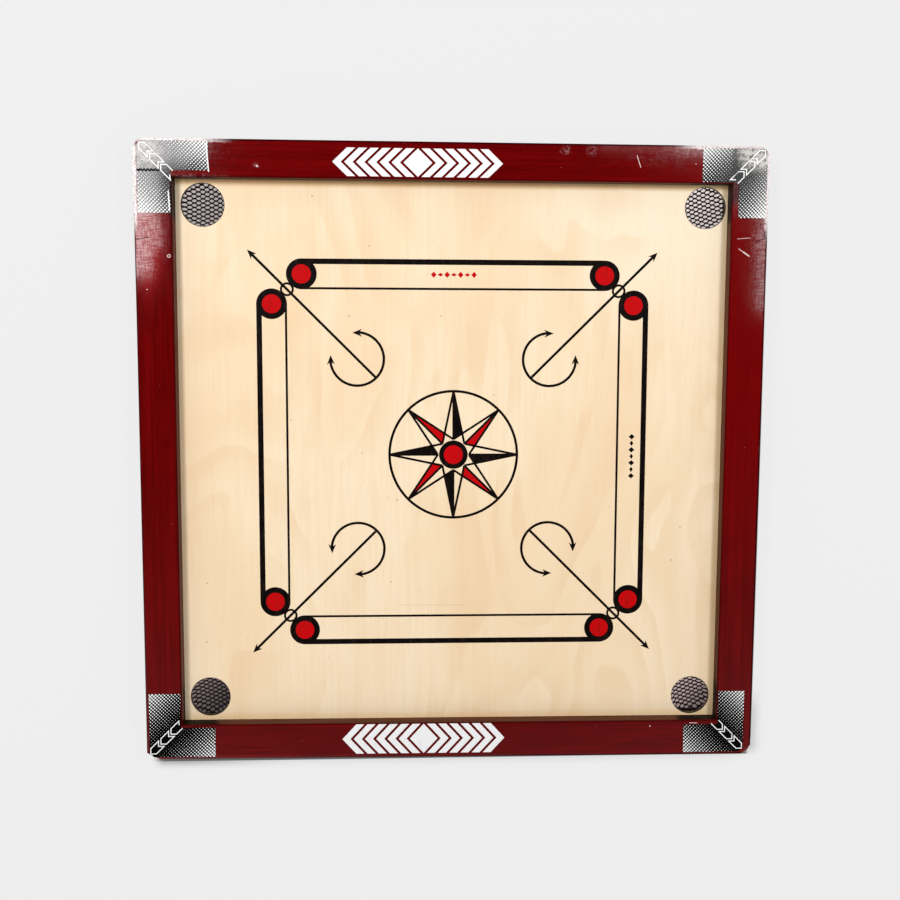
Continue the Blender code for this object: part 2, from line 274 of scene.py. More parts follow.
# Marks of use on the rails, in mm: cracks in the paint, pale scratches, and spots chipped or rubbed pale
CRACKS = {
    "x": [],
    "y": [
        ((-329.0, 226.8), (-313.8, 229.8), 0.9),
        ((316.8, 230.8), (329.0, 234.8), 0.9),
        ((321.8, 248.7), (329.0, 251.0), 0.8),
        ((327.4, 243.5), (327.7, 233.1), 1.3),
    ],
}
SCRATCHES = {
    "x": [((189.5, 319.4), (194.0, 306.1), 0.9), ((261.0, -294.0), (270.5, -294.3), 1.1)],
    "y": [
        ((299.6, 224.0), (305.5, 219.5), 0.9),
        ((304.0, 220.8), (312.3, 215.2), 1.9),
        ((297.8, 233.8), (312.7, 235.0), 0.6),
    ],
}
PALE_SPOTS = {
    "x": [((-203.6, 303.0), 1.5), ((217.7, -297.2), 1.0), ((252.0, 311.0), 0.8)],
    "y": [((303.5, 262.0), 1.1), ((-318.0, 176.0), 0.8)],
}
PALE_RING = ((-295.1, 210.5), 1.5)
# Patches of fine scuffs, painted pale where glare lies on the rails, so partly painted highlight: centre,
# half axes, the scuffs' direction in degrees, and strength
GLARE_SCUFFS = {
    "x": [
        ((115.8, 323.0), (9, 6), -58, 0.75), ((142.5, 323.0), (9, 7), -58, 0.7),
        ((216.0, 318.0), (48, 15), -80, 0.14), ((240.0, 322.0), (22, 8), 0, 0.35),
        ((-204.0, 304.0), (6, 4), 20, 0.5), ((-262.0, 292.6), (38, 3), 0, 0.5),
    ],
    "y": [((-316.0, 225.0), (14, 48), 8, 0.2), ((319.0, 236.0), (9, 42), 84, 0.42)],
}
# Larger patches: centre and half axes
LEFT_GLARE_PATCH = ((-318.0, 225.0), (26, 70))
# Painted shade on the rail by the back right inner corner
CORNER_SHADE_PATCH = ((294.5, 282.0), (8, 17))
DARK_LIP = ((-292.0, 274.0), (5.5, 30))


def glare_scuffs(f, along):
    """Fine scratches inside the patches listed above, pale as painted glare."""
    masks = []
    for place, half, direction, strength in GLARE_SCUFFS[along]:
        lines = f.stretched(x=0.28, turn=(0, 0, math.radians(-direction)))
        scratches = f.band(f.noise(1700, lines, detail=3, roughness=0.7), 0.48, 0.7)
        cover = f.band(f.noise(150, detail=3), 0.38, 0.56)
        masks.append(f.times(scratches, cover, near_patch(f, place, half), strength))
    return strongest(f, masks)


def red_gloss(f, streak, broad):
    """Brushed dark red, uneven at every scale, thinner by the back right, with painted glare on the left
    rail.
    """
    deep, plain, bright, dull = linear(86, 0, 1), linear(103, 1, 2), linear(118, 4, 6), linear(82, 0, 2)
    mottled, thinned, glare_red = linear(128, 10, 12), linear(122, 2, 4), linear(150, 12, 22)
    x, y, z = f.axes()
    blotch = f.noise(18, detail=4, roughness=0.6)
    mottle = f.noise(420, detail=3, roughness=0.7)
    colour = f.mix(f.band(streak, 0.36, 0.64), deep, plain)
    colour = f.tone(colour, broad, 0.45, 0.7, 0.6, bright)
    colour = f.tone(colour, blotch, 0.45, 0.7, 0.5, dull)
    colour = f.tone(colour, mottle, 0.55, 0.75, 0.35, mottled)
    thin = f.times(f.band(x, 0.1, 0.3), f.band(y, -0.2, 0.1))
    colour = f.over(colour, thin, 0.5, thinned)
    # Painted glare: paler red on the top of the left rail.
    left_glare = f.times(near_patch(f, *LEFT_GLARE_PATCH), f.by_edge(z, RAIL_TOP, 6, 1))
    return f.over(colour, left_glare, 0.8, glare_red)


def inner_wall(f, along, lines, streak, broad, from_centre, along_rail):
    """The inner wall's stain, with painted shade near the corners, and the mask of where it shows below the
    red.
    """
    light, medium, dark = linear(108, 63, 46), linear(82, 46, 28), linear(62, 34, 22)
    shadow, tan, red_brown = linear(16, 10, 8), linear(46, 28, 12), linear(58, 10, 6)
    x, _, z = f.axes()
    lower = f.calc("ADD", z, f.wander(f.noise(160, lines, detail=3), 0.8))
    if along == "y":
        # On the left rail the red runs further down the wall.
        lower = f.calc("ADD", lower, f.band(x, -0.1, 0.1, 0.0052, 0.0))
    stain = f.mix(f.band(streak, 0.3, 0.7), medium, light)
    stain = f.tone(stain, broad, 0.4, 0.65, 0.6, dark)
    # Painted shade: the wall turns dark near the corners.
    by_corner = f.calc("ADD", along_rail, f.wander(f.noise(40, lines), 15))
    stain = f.over(stain, f.by_edge(by_corner, HALF_INSIDE, 42, 34), 0.92, shadow)
    stain = f.over(stain, f.by_edge(z, PANEL_TOP, -1.6, -0.7), 0.85, tan)
    stain = f.over(stain, f.by_edge(z, RAIL_TOP, 2.8, 2.0), 0.7, red_brown)
    wall = f.by_edge(from_centre, HALF_INSIDE, -1.2, -0.6)
    return stain, f.times(wall, f.by_edge(lower, RAIL_TOP, 1.0, 1.9))


def rail_marks(f, along, colour):
    """Painted shade, a dark lip, scratches, spots and scuffs partly painted as glare, laid over the paint,
    and the mask of its cracks, if any.
    """
    shade_and_lip_dark, crack = linear(36, 18, 20), linear(24, 4, 4)
    bare, scuff = linear(240, 216, 212), linear(226, 180, 186)
    pale = [near_line(f, *mark, rough=0.3) for mark in SCRATCHES[along]]
    pale += [near_spot(f, *spot) for spot in PALE_SPOTS[along]]
    if along == "y":
        # Painted shade by the right rail's back inner corner, and a dark lip on the left rail, in one dark
        # colour.
        corner_shade = f.times(near_patch(f, *CORNER_SHADE_PATCH, core=0.4), 0.7)
        lip = f.times(near_patch(f, *DARK_LIP, core=0.6), 0.85)
        colour = f.mix(f.calc("MAXIMUM", corner_shade, lip), colour, shade_and_lip_dark)
        pale.append(near_spot(f, *PALE_RING, ring=0.5))
    colour = f.over(colour, strongest(f, pale), 0.95, bare)
    # Scuffs, partly painted glare: pale streaks where the rails catch the light.
    colour = f.mix(glare_scuffs(f, along), colour, scuff)
    if not CRACKS[along]:
        return colour, None
    cracked = strongest(f, [near_line(f, *mark, rough=0.5) for mark in CRACKS[along]])
    return f.mix(cracked, colour, crack), cracked


def rail_paint(along):
    """Dark red gloss brushed along the rail, over an inner wall left in brown stain."""
    f = Finish("rail_paint_" + along, Roughness=0.12, Specular_IOR_Level=0.5)
    dust, rubbed_red, inner, outer, worn_pale = (
        linear(196, 120, 120), linear(150, 96, 92), linear(56, 3, 1), linear(34, 4, 5), linear(238, 224, 223),
    )
    x, y, z = f.axes()
    from_centre = f.calc("MAXIMUM", f.size(x), f.size(y))
    along_rail = f.calc("MINIMUM", f.size(x), f.size(y))
    lines = f.stretched(**{along: 0.02})
    streak = f.noise(900, lines, detail=4, roughness=0.6)
    broad = f.noise(170, lines, detail=3)
    colour = red_gloss(f, streak, broad)

    # Dust nibs in the gloss, and paint rubbed thin on the edges
    nib = f.times(f.band(f.cells(75), 0.045, 0.02), f.band(f.cells(75, output="Color"), 0.66, 0.7))
    colour = f.over(colour, nib, 0.55, dust)
    thin_paint = f.band(f.noise(70, detail=4, roughness=0.7), 0.6, 0.68)
    rubbed = f.times(f.by_edge(from_centre, HALF_SIDE, 2.4, 1.2), thin_paint)
    colour = f.over(colour, rubbed, 0.5, rubbed_red)
    stain, stained = inner_wall(f, along, lines, streak, broad, from_centre, along_rail)
    colour = f.mix(stained, colour, stain)

    # Painted shade: both top edges are darker, except where the outer one is rubbed pale by the back corners.
    inner_edge_shade = f.times(f.by_edge(from_centre, HALF_INSIDE, -2.2, -1.2), f.without(stained))
    colour = f.over(colour, inner_edge_shade, 0.7, inner)
    ragged = f.wander(f.noise(130, detail=4, roughness=0.7), 2)
    at_top = f.by_edge(f.calc("ADD", z, ragged), RAIL_TOP, 4.5, 2.0)
    outer_rim_shade = f.times(f.by_edge(from_centre, HALF_SIDE, 2.1, 1.1), at_top)
    colour = f.over(colour, outer_rim_shade, 0.85, outer)
    back_corner = f.times(f.by_edge(along_rail, HALF_SIDE, 105, 70), f.band(y, 0.1, 0.2), at_top)
    flaked = f.band(f.noise(600, detail=4, roughness=0.8), 0.3, 0.5)
    worn = f.times(f.by_edge(f.calc("ADD", from_centre, ragged), HALF_SIDE, 4.2, 2.6), back_corner, flaked)
    colour = f.over(colour, worn, 0.85, worn_pale)
    colour, cracked = rail_marks(f, along, colour)
    f.link("Base Color", colour)

    # The gloss is broken by fine brushing at the back corners and dull on stain, edges and cracks.
    matt = strongest(f, [stained, inner_edge_shade, f.calc("SUBTRACT", outer_rim_shade, worn)])
    if cracked:
        matt = f.calc("MAXIMUM", matt, cracked)
    brushing = [f.noise(700, f.stretched(**{way: 0.15}), detail=3) for way in "yx"]
    handled = f.times(f.band(y, 0.05, 0.15), f.band(f.size(x), 0.1, 0.2), at_top)
    uneven = f.band(f.calc("ADD", *brushing), 0.85, 1.15, -0.24, 0.18)
    gloss = f.calc("MULTIPLY_ADD", handled, uneven, 0.5)
    f.link("Specular IOR Level", f.times(gloss, f.calc("MULTIPLY_ADD", matt, -0.92, 1.0)))
    f.link("Roughness", f.calc("MULTIPLY_ADD", stained, 0.4, f.band(streak, 0.2, 0.8, 0.055, 0.085)))
    height = f.calc("ADD", f.times(streak, 0.6), f.times(f.noise(1500), 0.35))
    f.bump(f.calc("MULTIPLY_ADD", nib, 1.5, height), 0.000006, 0.5)
    return f.material


# Dark specks in the veneer, with their radii, and a faint scuff across its grain, in mm
PLY_SPECKS = [
    ((-149.3, 274.8), 1.0), ((-90.0, 223.6), 0.9), ((-111.3, 149.9), 1.1), ((-13.8, 150.6), 0.9),
    ((43.4, 66.4), 1.0), ((-173.4, 38.9), 0.9), ((-98.0, 3.4), 0.9), ((-60.5, -47.8), 1.1),
    ((-67.0, -138.2), 1.0), ((249.0, -78.1), 1.0), ((240.0, -114.9), 1.0), ((-266.4, -203.9), 1.1),
]
PLY_SCUFF = ((-60.5, -163.9), (13.7, -164.3), 1.2)


def veneer(f, fine, streak):
    """Birch on the flat, paler towards the back as a painted highlight, most at the back right, and paler
    towards the front right, with faint growth rings and pores.
    """
    back_highlight, pale, warm = linear(252, 237, 211), linear(249, 228, 196), linear(243, 211, 170)
    tan, pore = linear(231, 193, 145), linear(170, 130, 92)
    x, y, _ = f.axes()
    figure = f.noise(6.5, f.stretched(y=0.4), roughness=0.4, distortion=0.8)
    cloud = f.noise(9, f.stretched(y=0.45), detail=3)
    colour = f.mix(f.band(streak, 0.35, 0.72, 0.0, 0.45), pale, warm)
    colour = f.tone(colour, cloud, 0.42, 0.66, 0.55, warm)
    # Painted highlight: paler towards the back, most at the back right.
    colour = f.mix(f.times(f.band(y, 0.1, 0.27), f.band(x, 0.0, 0.24, 0.05, 0.65)), colour, back_highlight)
    colour = f.mix(f.times(f.band(x, 0.0, 0.2), f.band(y, 0.1, -0.2, 0.0, 0.45)), colour, pale)
    # Each growth ring darkens slowly and ends at a sharper line.
    level = f.calc("FRACT", f.times(figure, 8.0))
    ring = f.times(f.band(level, 0.1, 0.9), f.band(level, 1.0, 0.93))
    shown = f.band(f.noise(11), 0.36, 0.62)
    colour = f.over(colour, f.times(ring, shown), 0.27, tan)
    colour = f.tone(colour, fine, 0.56, 0.8, 0.28, tan)
    pores = f.noise(800, f.stretched(y=0.12), detail=1)
    return f.tone(colour, pores, 0.75, 0.8, 0.22, pore)


def birch_ply():
    """Lacquered birch veneer with its grain along Y, over darker core plies."""
    f = Finish("birch_ply", Roughness=0.45, Specular_IOR_Level=0.15)
    small_speck, large_speck, scuff = linear(112, 76, 50), linear(120, 84, 60), linear(176, 132, 92)
    darker, back_shade_tint, core_ply, hole_wall_dark = (
        (0.94, 0.87, 0.74, 1), (0.72, 0.62, 0.52, 1), linear(120, 84, 52), linear(30, 20, 15),
    )
    x, y, z = f.axes()
    fine = f.noise(1100, f.stretched(y=0.02), detail=3, roughness=0.7)
    streak = f.noise(210, f.stretched(y=0.05), detail=4, roughness=0.65, distortion=0.3)
    colour = veneer(f, fine, streak)
    chosen = f.band(f.cells(24, output="Color"), 0.62, 0.64)
    colour = f.over(colour, f.times(f.band(f.cells(24), 0.026, 0.012), chosen), 0.75, small_speck)
    specks = strongest(f, [near_spot(f, place, radius) for place, radius in PLY_SPECKS])
    colour = f.over(colour, specks, 0.75, large_speck)
    colour = f.over(colour, near_line(f, *PLY_SCUFF, rough=0.6), 0.22, scuff)
    # Painted shade: the ply is darker and tanner beside all the rails but the left one, and darkest by the
    # back one.
    shade_by_walls = f.by_edge(f.calc("MAXIMUM", x, f.size(y)), HALF_INSIDE, 9, 1)
    colour = f.mix(shade_by_walls, colour, darker, blend="MULTIPLY")
    colour = f.mix(f.by_edge(y, HALF_INSIDE, 8.5, 2), colour, back_shade_tint, blend="MULTIPLY")
    # The core shows in the panel's cut edges, and the holes' walls are darker.
    core = f.times(f.by_edge(z, PANEL_TOP, 0.9, 1.2), f.by_edge(z, PANEL_TOP, 3.1, 2.8))
    colour = f.mix(core, colour, core_ply)
    cut = f.times(f.by_edge(z, PANEL_TOP, 0.1, 0.4), f.by_edge(z, PANEL_TOP, 3.9, 3.7))
    colour = f.over(colour, cut, 0.93, hole_wall_dark)
    f.link("Base Color", colour)
    f.link("Roughness", f.band(streak, 0.2, 0.8, 0.36, 0.5))
    f.bump(f.calc("ADD", fine, f.times(streak, 0.6)), 0.00003, 0.5)
    return f.material


def batten_wood():
    f = Finish("batten_wood", Roughness=0.7, Specular_IOR_Level=0.3)
    grain = f.noise(240, f.stretched(z=0.05), detail=4, roughness=0.65)
    figure = f.noise(30, detail=3, distortion=1.0)
    colour = f.mix(f.band(grain, 0.3, 0.7), linear(190, 150, 105), linear(150, 108, 68))
    colour = f.tone(colour, figure, 0.5, 0.8, 0.5, linear(122, 84, 52))
    f.link("Base Color", colour)
    f.bump(grain, 0.0002, 0.5)
    return f.material


def ink(name, colour, worn):
    """Screen-printed ink: slightly uneven, with the grain showing through where it is thin."""
    f = Finish(name, Roughness=0.4, Specular_IOR_Level=0.04)
    patch = f.noise(260, f.stretched(y=0.25), detail=4, roughness=0.7)
    speck = f.noise(1800, f.stretched(y=0.3), detail=1)
    tone = f.mix(f.band(patch, 0.45, 0.75), colour, worn)
    f.link("Base Color", f.tone(tone, speck, 0.68, 0.78, 0.5, worn))
    f.link("Roughness", f.band(patch, 0.3, 0.7, 0.35, 0.55))
    f.bump(speck, 0.00002, 0.4)
    return f.material


# Painted glare, pale on the film by the back corners, and a dark smudge on the white print by the back right
# corner, in mm: centre, half axes, share that is its core, range of the noise that breaks it up, strength and
# colour
FILM_GLARE = [
    ((317, 321), (27, 21), 0.4, (0.38, 0.56), 0.85, linear(206, 200, 194)),
    ((-318, 317), (34, 26), 0.1, (0.3, 0.6), 0.6, linear(214, 202, 199)),
]
WHITE_SMUDGE = ((294.0, 315), (5, 20))


def sticker_film():
    f = Finish("sticker_film", Roughness=0.12, Specular_IOR_Level=0.6)
    colour = f.mix(f.band(f.noise(120, detail=3), 0.4, 0.7), linear(4, 4, 4), linear(11, 10, 10))
    # Painted glare: the film is paler by the back corners.
    for place, half, core, (thin, thick), share, pale in FILM_GLARE:
        cover = f.band(f.noise(190, detail=5, roughness=0.65), thin, thick)
        colour = f.over(colour, f.times(near_patch(f, place, half, core), cover), share, pale)
    f.link("Base Color", colour)
    _, y, _ = f.axes()
    f.link("Specular IOR Level", f.band(y, -0.2, 0.2, 0.08, 0.62))
    f.link("Roughness", f.band(f.noise(500, detail=3), 0.3, 0.7, 0.055, 0.1))
    f.bump(f.noise(220, detail=4), 0.000006, 0.5)
    return f.material


def sticker_white():
    f = Finish("sticker_white", Roughness=0.3, Specular_IOR_Level=0.3)
    patch = f.noise(300, detail=3)
    colour = f.mix(f.band(patch, 0.4, 0.75), linear(253, 254, 253), linear(238, 239, 236))
    smudge = f.times(near_patch(f, *WHITE_SMUDGE, core=0.5), f.band(f.noise(260, detail=3), 0.3, 0.5))
    f.link("Base Color", f.over(colour, smudge, 0.95, linear(26, 25, 27)))
    f.link("Roughness", f.band(patch, 0.3, 0.7, 0.34, 0.5))
    return f.material


def white_paint():
    """Stencilled white on the rails, thin enough in places for the red to warm it."""
    f = Finish("white_paint", Roughness=0.4, Specular_IOR_Level=0.4)
    patch = f.noise(160, detail=4, roughness=0.65)
    speck = f.noise(900, detail=2)
    colour = f.tone(linear(244, 244, 244), patch, 0.5, 0.8, 0.6, linear(226, 216, 216))
    f.link("Base Color", f.tone(colour, speck, 0.66, 0.76, 0.5, linear(196, 150, 150)))
    f.link("Roughness", f.band(patch, 0.3, 0.7, 0.34, 0.5))
    f.bump(speck, 0.00003, 0.5)
    return f.material


def net_cord():
    """Black nylon netting, twisted finely enough that only its sheen breaks up."""
    f = Finish("net_cord", Roughness=0.5, Specular_IOR_Level=0.08, Sheen_Weight=0.02, Sheen_Roughness=0.4)
    twist = f.noise(2600, detail=2)
    f.link("Base Color", f.mix(f.band(twist, 0.35, 0.7), linear(9, 7, 7), linear(24, 20, 20)))
    f.link("Roughness", f.band(twist, 0.3, 0.7, 0.42, 0.62))
    f.bump(twist, 0.0001, 0.6)
    return f.material


def nail_steel():
    f = Finish("nail_steel", Metallic=1.0, Roughness=0.38)
    patch = f.noise(700, detail=4, roughness=0.7)
    f.link("Base Color", f.mix(f.band(patch, 0.4, 0.75), linear(176, 172, 166), linear(110, 88, 70)))
    f.link("Roughness", f.band(patch, 0.3, 0.7, 0.3, 0.6))
    f.bump(patch, 0.00006, 0.5)
    return f.material


def give(obj, material):
    obj.data.materials.clear()
    obj.data.materials.append(material)


# Thin drawn shapes

class Print:
    """Closed thin shapes of one colour, each a hair higher than the last so that none share a plane."""

    def __init__(self, name, slot, material, surface, place=Matrix.Identity(4)):
        self.name, self.slot, self.material, self.place = name, slot, material, place
        self.low = surface - INK_SINK * MM
        self.top = surface + INK_RISE * MM
        self.bm = bmesh.new()

    def _raise(self):
        self.top += INK_STEP * MM
        return self.top

    def polygon(self, outline, lift=0.0):
        """A filled outline of (x, y) points in mm, on a level of its own unless it is given a lift in mm."""
        high = lift * MM + self.top if lift else self._raise()
        lower = [self.bm.verts.new((x * MM, y * MM, self.low)) for x, y in outline]
        upper = [self.bm.verts.new((x * MM, y * MM, high)) for x, y in outline]
        self.bm.faces.new(lower[::-1])
        self.bm.faces.new(upper)
        for i in range(len(outline)):
            j = (i + 1) % len(outline)
            self.bm.faces.new((lower[i], lower[j], upper[j], upper[i]))

    def stroke(self, points, width, closed=False):
        """A line of one width along (x, y) points in mm, mitred at its bends."""
        high = self._raise()
        rows = []
        count = len(points)
        for i, (x, y) in enumerate(points):
            before = points[i - 1] if closed or i else None
            after = points[(i + 1) % count] if closed or i < count - 1 else None
            ways = []
            for start, end in ((before, (x, y)), ((x, y), after)):
                if start and end:
                    ways.append((Vector(end) - Vector(start)).normalized())
            way = sum(ways, Vector((0, 0))).normalized()
            reach = width / 2 / max(SHARPEST_MITRE, way.dot(ways[0]))
            side = Vector((-way.y, way.x)) * reach
            corners = []
            for hand, height in ((1, self.low), (-1, self.low), (-1, high), (1, high)):
                across = ((x + hand * side.x) * MM, (y + hand * side.y) * MM, height)
                corners.append(self.bm.verts.new(across))
            rows.append(corners)
        if closed:
            rows.append(rows[0])
        for first, second in zip(rows, rows[1:]):
            for a in range(4):
                b = (a + 1) % 4
                self.bm.faces.new((first[a], first[b], second[b], second[a]))
        if not closed:
            self.bm.faces.new(rows[0][::-1])
            self.bm.faces.new(rows[-1])

    def ring(self, centre, outer, width):
        self.stroke(circle(centre, outer - width / 2), width, closed=True)

    def disc(self, centre, radius):
        self.polygon(circle(centre, radius))

    def arrow_head(self, tip, direction):
        """A barbed head whose tip points along direction, in degrees."""
        length, half, notch = ARROW_HEAD
        turn = Matrix.Rotation(math.radians(direction), 2)
        outline = []
        for back, side in ((0, 0), (-length, half), (-notch, 0), (-length, -half)):
            moved = turn @ Vector((back, side))
            outline.append((tip[0] + moved.x, tip[1] + moved.y))
        self.polygon(outline)

    def done(self):
        bmesh.ops.recalc_face_normals(self.bm, faces=self.bm.faces)
        mesh = bpy.data.meshes.new(self.name)
        self.bm.to_mesh(mesh)
        self.bm.free()
        mesh.transform(self.place)
        return show(self.name, mesh, self.material)


def show(name, mesh, material):
    piece = bpy.data.objects.new(name, mesh)
    bpy.context.scene.collection.objects.link(piece)
    give(piece, material)
    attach(piece, BODY)
    return piece


def circle(centre, radius, start=0.0, span=360.0):
    """Points on a circle or, for a smaller span, on an arc with both its ends."""
    least, more = CIRCLE_STEPS
    steps = max(FEWEST_STEPS, int(abs(span) / 360 * (least + more * radius)))
    count = steps if span == 360.0 else steps + 1
    angles = [math.radians(start + span * i / steps) for i in range(count)]
    return [(centre[0] + radius * math.cos(a), centre[1] + radius * math.sin(a)) for a in angles]


def polar(radius, degrees):
    return (radius * math.cos(math.radians(degrees)), radius * math.sin(math.radians(degrees)))


def quarter_turn(point, quarters):
    x, y = point
    for _ in range(quarters % 4):
        x, y = -y, x
    return (x, y)


def draw_arms(black, red):
    """Two lines a side that join the base circles, and the circles themselves."""
    outer = BASE_ACROSS + BASE_RADIUS - THICK_LINE / 2
    inner = BASE_ACROSS - BASE_RADIUS + THIN_LINE / 2
    for side in range(4):
        for place, width in ((outer, THICK_LINE), (inner, THIN_LINE)):
            ends = ((-BASE_ALONG, place), (BASE_ALONG, place))
            black.stroke([quarter_turn(end, side) for end in ends], width)
        for hand in (-1, 1):
            base = quarter_turn((hand * BASE_ALONG, BASE_ACROSS), side)
            black.ring(base, BASE_RADIUS, BASE_RADIUS - BASE_RED_RADIUS)
            red.disc(base, BASE_RED_RADIUS + RED_OVERLAP)


def draw_diagonals(black):
    """From each corner: a small circle, a long arrow and an arc with a head at both ends."""
    near, far = ARROW_SPAN
    place, radius = SMALL_CIRCLE
    for quarter in range(4):
        black.ring(quarter_turn((-place, place), quarter), radius, THIN_LINE)
        line = ((-near, near), (-far + LINE_SHORT, far - LINE_SHORT))
        black.stroke([quarter_turn(point, quarter) for point in line], LINE)
        black.arrow_head(quarter_turn((-far, far), quarter), 135 + 90 * quarter)
        centre = quarter_turn((-ARC_PLACE, ARC_PLACE), quarter)
        first, last = ARC_GAP
        turned = 90 * quarter
        inset = math.degrees(ARROW_HEAD[2] * HEAD_COVER / ARC_RADIUS)
        start = last + inset + turned
        black.stroke(circle(centre, ARC_RADIUS, start, 360 - (last - first) - 2 * inset), LINE)
        for end, way in ((first, 1), (last, -1)):
            offset = polar(ARC_RADIUS, end + turned)
            lean = math.degrees(ARROW_HEAD[0] / 2 / ARC_RADIUS)
            black.arrow_head((centre[0] + offset[0], centre[1] + offset[1]), end + turned + way * (90 - lean))


def crossing(a, b, c, d):
    """Where the lines a-b and c-d meet."""
    ab, cd = Vector(b) - Vector(a), Vector(d) - Vector(c)
    share = (Vector(c) - Vector(a)).cross(cd) / ab.cross(cd)
    return tuple(Vector(a) + ab * share)


def draw_star(black, red):
    """Eight crossing points inside a circle, each with its clockwise half filled, round a red hub."""
    black.ring((0, 0), CENTRE_RADIUS, LINE)
    radius = CENTRE_RADIUS - LINE / 2
    for point in range(8):
        angle = 90 - 45 * point
        tip = polar(radius, angle)
        foot = polar(STAR_INNER, angle)
        right, left = polar(STAR_INNER, angle - 45), polar(STAR_INNER, angle + 45)
        next_tip = polar(radius, angle - 45)
        corner = crossing(tip, right, next_tip, foot)
        (red if point % 2 else black).polygon([tip, foot, corner])
        for end in (right, left, foot):
            black.stroke([tip, end], THIN_LINE)
    black.ring((0, 0), HUB_RADIUS, HUB_RADIUS - HUB_RED_RADIUS)
    red.disc((0, 0), HUB_RED_RADIUS + RED_OVERLAP)


def draw_small_ornament(pen, centre, upright=False):
    """A row of lozenges, every other one lower, in place of small lettering."""
    length, height = SMALL_ORNAMENT
    pitch = length / LOZENGES
    half = pitch * LOZENGE_WIDTH / 2
    for i in range(LOZENGES):
        middle = (i - (LOZENGES - 1) / 2) * pitch
        tall = height / 2 * (LOW_LOZENGE if i % 2 else 1.0)
        outline = [(middle - half, 0), (middle, tall), (middle + half, 0), (middle, -tall)]
        if upright:
            outline = [(y, x) for x, y in outline]
        pen.polygon([(centre[0] + x, centre[1] + y) for x, y in outline])


def plan(centre, degrees):
    """The matrix that turns a plan drawing and puts its origin at an (x, y) point in mm."""
    place = Matrix.Translation((centre[0] * MM, centre[1] * MM, 0))
    return place @ Matrix.Rotation(math.radians(degrees), 4, "Z")


def make_print(black_finish, red_finish):
    finishes = {"black": black_finish, "red": red_finish}
    place = plan(PRINT_CENTRE, PRINT_TURN)

    def draw(function, *names, **details):
        """Calls a drawing function with a new pen for each (name, colour)."""
        pens = []
        for name, colour in names:
            pens.append(Print("print_" + name, colour + "_ink", finishes[colour], PANEL_TOP, place))
        function(*pens, **details)
        for pen in pens:
            pen.done()

    draw(draw_arms, ("base_lines", "black"), ("base_circles", "red"))
    draw(draw_diagonals, ("corner_arrows", "black"))
    draw(draw_star, ("star_lines", "black"), ("star_points", "red"))
    draw(draw_small_ornament, ("ornament_back", "red"), centre=ORNAMENT_BACK)
    draw(draw_small_ornament, ("ornament_right", "black"), centre=ORNAMENT_RIGHT, upright=True)


# Rails' white ornaments, in mm: centre, length and height, and turn in degrees
RAIL_ORNAMENTS = {
    "back": ((-38.5, 308.5), (163, 29), 0),
    "front": ((-31.0, -308.5), (160, 33), 180),
}
LOZENGE_HALF = 15.0
CHEVRON_STROKE = 8.6
CHEVRON_GAP = 3.6


def make_rail_ornaments(finish):
    """Chevrons that point to a lozenge in the middle."""
    for side, (centre, (length, height), turn) in RAIL_ORNAMENTS.items():
        pen = Print("rail_ornament_" + side, "white_paint", finish, RAIL_TOP, plan(centre, turn))
        half = height / 2
        pen.polygon([(-LOZENGE_HALF, 0), (0, half), (LOZENGE_HALF, 0), (0, -half)])
        for hand in (-1, 1):
            tip, back = LOZENGE_HALF + CHEVRON_GAP, CHEVRON_GAP
            while back + CHEVRON_STROKE < length / 2 - 1:
                upper = [(tip, 0), (back, half), (back + CHEVRON_STROKE, half), (tip + CHEVRON_STROKE, 0)]
                lower = [(x, -y) for x, y in upper[2:0:-1]]
                pen.polygon([(hand * x, y) for x, y in upper + lower])
                tip += CHEVRON_STROKE + CHEVRON_GAP
                back += CHEVRON_STROKE + CHEVRON_GAP
        pen.done()


# Corner stickers, in mm from the film's outer corner
FILM_CUT = 4.5  # the outer corner's cut, along each side
DOT_PITCH = (2.88, 2.48)  # along the corner's diagonal, and across it
# Dot radius for each mm away from the diagonal
DOT_GROWTH = each_corner(0.0262, 0.0270, 0.0240, 0.0246)
DOT_LIFTS = (0.0001, 0.0021)  # neighbours that overlap don't share a plane
BAND_HALF = 7.4  # the plain band along the diagonal
CHEVRON_TIP = 3.4
CHEVRON_PITCH = 15.5
CHEVRON_HALF = 4.2
CHEVRON_BODY = 11.9
CHEVRON_LINE = 1.05
# The third chevron is cut by the film's inner edge: how much longer or shorter its two lines are than the
# others', and which line (1, -1 or neither) still has its end stroke
CHEVRON_ENDS = each_corner((-3.3, 1.6, -1), (0.0, -3.0, 1), (-2.9, 0.1, -1), (-2.3, -5.6, 0))
CUT_STROKE = (1.5, -0.8)  # where an end stroke that is cut stops, from the notch
CHEVRON_SHIFT = each_corner(-0.2, 0.6, -2.0, -1.6)  # sideways from the diagonal


def clipped(outline, low, high):
    """A convex outline cut to an upright rectangle."""
    for axis in (0, 1):
        for limit, keep in ((low[axis], 1), (high[axis], -1)):
            kept = []
            for start, end in zip(outline, outline[1:] + outline[:1]):
                a, b = (start[axis] - limit) * keep, (end[axis] - limit) * keep
                if a >= 0:
                    kept.append(start)
                if a * b < 0:
                    share = a / (a - b)
                    kept.append(tuple(s + (e - s) * share for s, e in zip(start, end)))
            outline = kept
            if len(outline) < 3:
                return []
    return outline


def draw_dots(pen, corner, reach, width):
    """Dots that grow away from the corner's diagonal, cut off at the film's edges."""
    shift = CHEVRON_SHIFT[corner]
    steps = int(max(reach) * 1.5 / min(DOT_PITCH))
    for i in range(steps):
        for j in range(-steps, steps):
            along, across = i * DOT_PITCH[0], j * DOT_PITCH[1] + shift
            if abs(across - shift) < BAND_HALF:
                continue
            a, b = (along + across) * DIAGONAL, (along - across) * DIAGONAL
            limit = (reach[0], width[1]) if a > b else (width[0], reach[1])
            dot = clipped(circle((a, b), DOT_GROWTH[corner] * abs(across)), (0, 0), limit)
            if dot:
                pen.polygon(dot, lift=DOT_LIFTS[j % 2])


